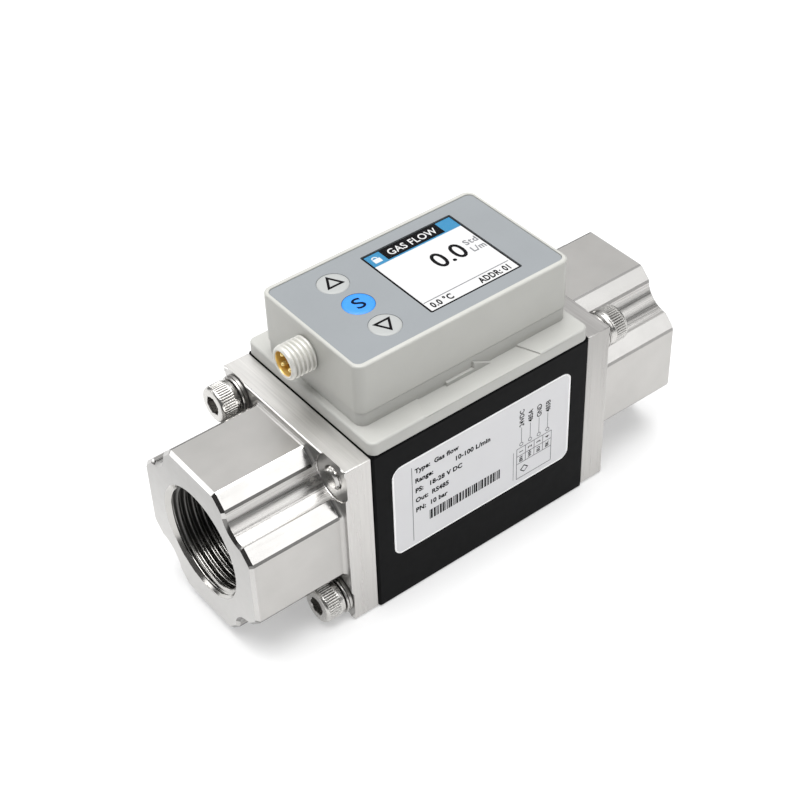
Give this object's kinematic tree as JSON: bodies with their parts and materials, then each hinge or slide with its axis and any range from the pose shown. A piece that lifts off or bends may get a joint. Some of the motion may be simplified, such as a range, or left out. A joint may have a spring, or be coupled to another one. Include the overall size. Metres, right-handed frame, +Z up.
{
  "type": "mass flow meter",
  "caption": "Inline gas mass flow meter: black flow body between two bolted steel end blocks with threaded ports, and a display head with a screen, push buttons and a round plug connector.",
  "frame": {"origin": "on the underside of the flow body, under the middle of the meter", "axes": "+X along the flow, from the inlet to the outlet; +Z up, towards the display; -Y towards the side with the rating label"},
  "size_m": [0.1192, 0.0448, 0.064],
  "materials": {
    "stainless_steel": "milled and turned stainless steel, bright edges",
    "bolt_steel": "bright stainless steel",
    "black_anodised": "black anodised, satin",
    "seal_rubber": "matte",
    "grid_steel": "satin",
    "carrier_plastic": "moulded",
    "circuit_board": "solder mask",
    "sensor_ceramic": "satin",
    "gold_contact": "gold plated",
    "base_plastic": "fine moulded grain",
    "housing_plastic": "fine moulded grain",
    "panel_film": "satin film",
    "window_clear": "clear",
    "display_face": "lit screen",
    "holder_plastic": "moulded",
    "key_light": "satin",
    "key_blue": "satin",
    "switch_body": "moulded",
    "connector_nickel": "nickel plated brass",
    "connector_insert": "amber plastic",
    "label_film": "satin film",
    "screw_steel": "satin",
    "flex_lead": "satin"
  },
  "bodies": {
    "root": {"inlet_end_block": "stainless_steel", "outlet_end_block": "stainless_steel", "flow_body": "black_anodised", "inlet_bolt_upper": "bolt_steel", "inlet_bolt_lower": "bolt_steel", "outlet_bolt_upper": "bolt_steel", "outlet_bolt_lower": "bolt_steel", "inlet_washer_upper": "bolt_steel", "inlet_washer_lower": "bolt_steel", "outlet_washer_upper": "bolt_steel", "outlet_washer_lower": "bolt_steel", "inlet_seal": "seal_rubber", "outlet_seal": "seal_rubber", "inlet_flow_grid": "grid_steel", "outlet_flow_grid": "grid_steel", "label_plate": "label_film", "sensor_carrier": "carrier_plastic", "sensor_element": "sensor_ceramic", "sensor_seal": "seal_rubber", "sensor_header": "holder_plastic", "carrier_screw_inlet": "screw_steel", "carrier_screw_outlet": "screw_steel", "body_gasket": "seal_rubber", "base_plate": "base_plastic", "base_screw_1": "screw_steel", "base_screw_2": "screw_steel", "base_screw_3": "screw_steel", "base_screw_4": "screw_steel", "head_housing": "housing_plastic", "overlay_panel": "panel_film", "display_window": "window_clear", "display_module": "display_face", "display_holder": "holder_plastic", "control_board": "circuit_board", "switch_up": "switch_body", "switch_select": "switch_body", "switch_down": "switch_body", "connector_shell": "connector_nickel", "connector_insert": "connector_insert", "connector_pin_1": "gold_contact", "connector_pin_2": "gold_contact", "connector_pin_3": "gold_contact", "connector_pin_4": "gold_contact", "connector_gasket": "seal_rubber", "connector_retainer": "screw_steel", "connector_flex": "flex_lead"},
    "up_key": {"button_up": "key_light"},
    "select_key": {"button_select": "key_blue"},
    "down_key": {"button_down": "key_light"}
  },
  "joints": [
    {"name": "up_key_press", "type": "slide", "parent": "root", "child": "up_key", "axis": [0, 0, -1], "range_m": [0, 0.0005], "stiffness_N_per_m": 300, "springref_m": -0.0006},
    {"name": "select_key_press", "type": "slide", "parent": "root", "child": "select_key", "axis": [0, 0, -1], "range_m": [0, 0.0005], "stiffness_N_per_m": 300, "springref_m": -0.0006},
    {"name": "down_key_press", "type": "slide", "parent": "root", "child": "down_key", "axis": [0, 0, -1], "range_m": [0, 0.0005], "stiffness_N_per_m": 300, "springref_m": -0.0006}
  ]
}
